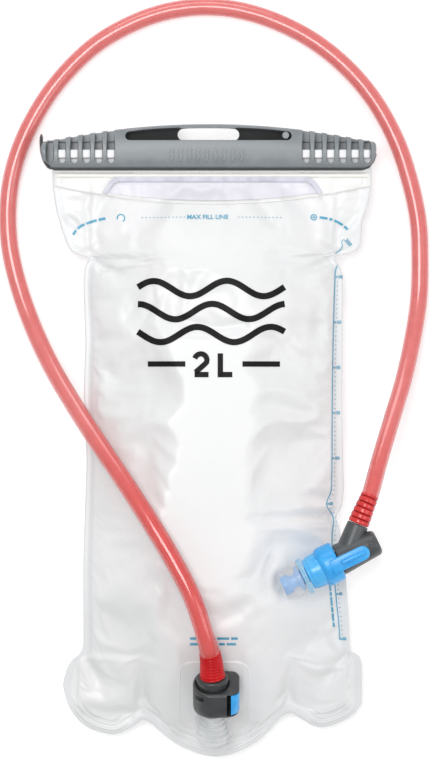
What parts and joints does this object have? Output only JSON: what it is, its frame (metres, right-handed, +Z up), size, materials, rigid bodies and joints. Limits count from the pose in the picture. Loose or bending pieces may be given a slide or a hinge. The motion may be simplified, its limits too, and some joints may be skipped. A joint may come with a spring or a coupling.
{
  "type": "hydration bladder",
  "caption": "Soft water reservoir bag with a slide clip across its mouth, a quick-release port near its foot and a looped drinking tube that ends in a twist-lock bite valve.",
  "frame": {"origin": "On the surface the bladder lies on, under the middle of the box of the bag with its clip and connector, without the free tube and the valve on it", "axes": "+Z up off the surface, out of the bag's front; +Y along the bag to the clip; +X across the bag, to the right when the clip is at the top"},
  "size_m": [0.238, 0.4197, 0.0655],
  "materials": {
    "film": "frosted translucent soft film",
    "band_film": "thicker frosted film, welded",
    "grip_film": "frosted film with a faint lavender tint",
    "rail": "smooth moulded white",
    "clip": "satin moulded grey",
    "port": "clear soft moulding",
    "seal": "matt black rubber",
    "spring": "stainless steel",
    "connector": "satin moulded dark grey",
    "elbow": "satin moulded dark grey",
    "blue": "satin bright blue",
    "light_blue": "translucent light blue",
    "silicone": "clear silicone",
    "tube": "translucent red, glossy"
  },
  "bodies": {
    "bladder": {"bag_front_panel": "film", "bag_back_panel": "film", "mouth_band": "band_film", "mouth_grip_panel": "grip_film", "mouth_rail_front": "rail", "mouth_rail_back": "rail", "port_patch": "port", "port_flange": "port", "port_neck": "port", "port_o_ring": "seal", "port_poppet_spring": "spring"},
    "clip": {"slide_clip": "clip", "clip_peg": "clip"},
    "poppet": {"port_poppet": "blue"},
    "drinking_line": {"connector_body": "connector", "connector_collar": "connector", "connector_face_seal": "seal", "connector_button_spring": "spring", "drinking_tube": "tube", "valve_elbow": "elbow", "elbow_boss": "elbow", "valve_o_ring": "seal"},
    "button": {"connector_button": "blue", "connector_latch_plate": "spring"},
    "bite_valve": {"valve_twist_collar": "blue", "valve_barrel": "light_blue", "valve_flange_ring": "silicone", "bite_sheath": "silicone", "bite_core": "blue"}
  },
  "joints": [
    {"name": "clip_slide", "type": "slide", "parent": "bladder", "child": "clip", "axis": [-1, 0, 0], "range_m": [0, 0.185]},
    {"name": "line_pull", "type": "slide", "parent": "bladder", "child": "drinking_line", "axis": [0, 0.9063, 0.4226], "range_m": [0, 0.014]},
    {"name": "poppet_lift", "type": "slide", "parent": "bladder", "child": "poppet", "axis": [0, 0.9063, 0.4226], "range_m": [0, 0.0024], "deforming": ["port_poppet_spring"]},
    {"name": "button_press", "type": "slide", "parent": "drinking_line", "child": "button", "axis": [-1, 0, 0], "range_m": [0, 0.002], "stiffness_N_per_m": 900, "deforming": ["connector_button_spring"]},
    {"name": "valve_twist", "type": "hinge", "parent": "drinking_line", "child": "bite_valve", "pos_m": [0.0704, -0.064, 0.0487], "axis": [0.9018, 0.4321, 0], "range_deg": [0, 90]}
  ],
  "couplings": [
    {"joint": "poppet_lift", "follows": "line_pull", "ratio": 0.1714}
  ]
}
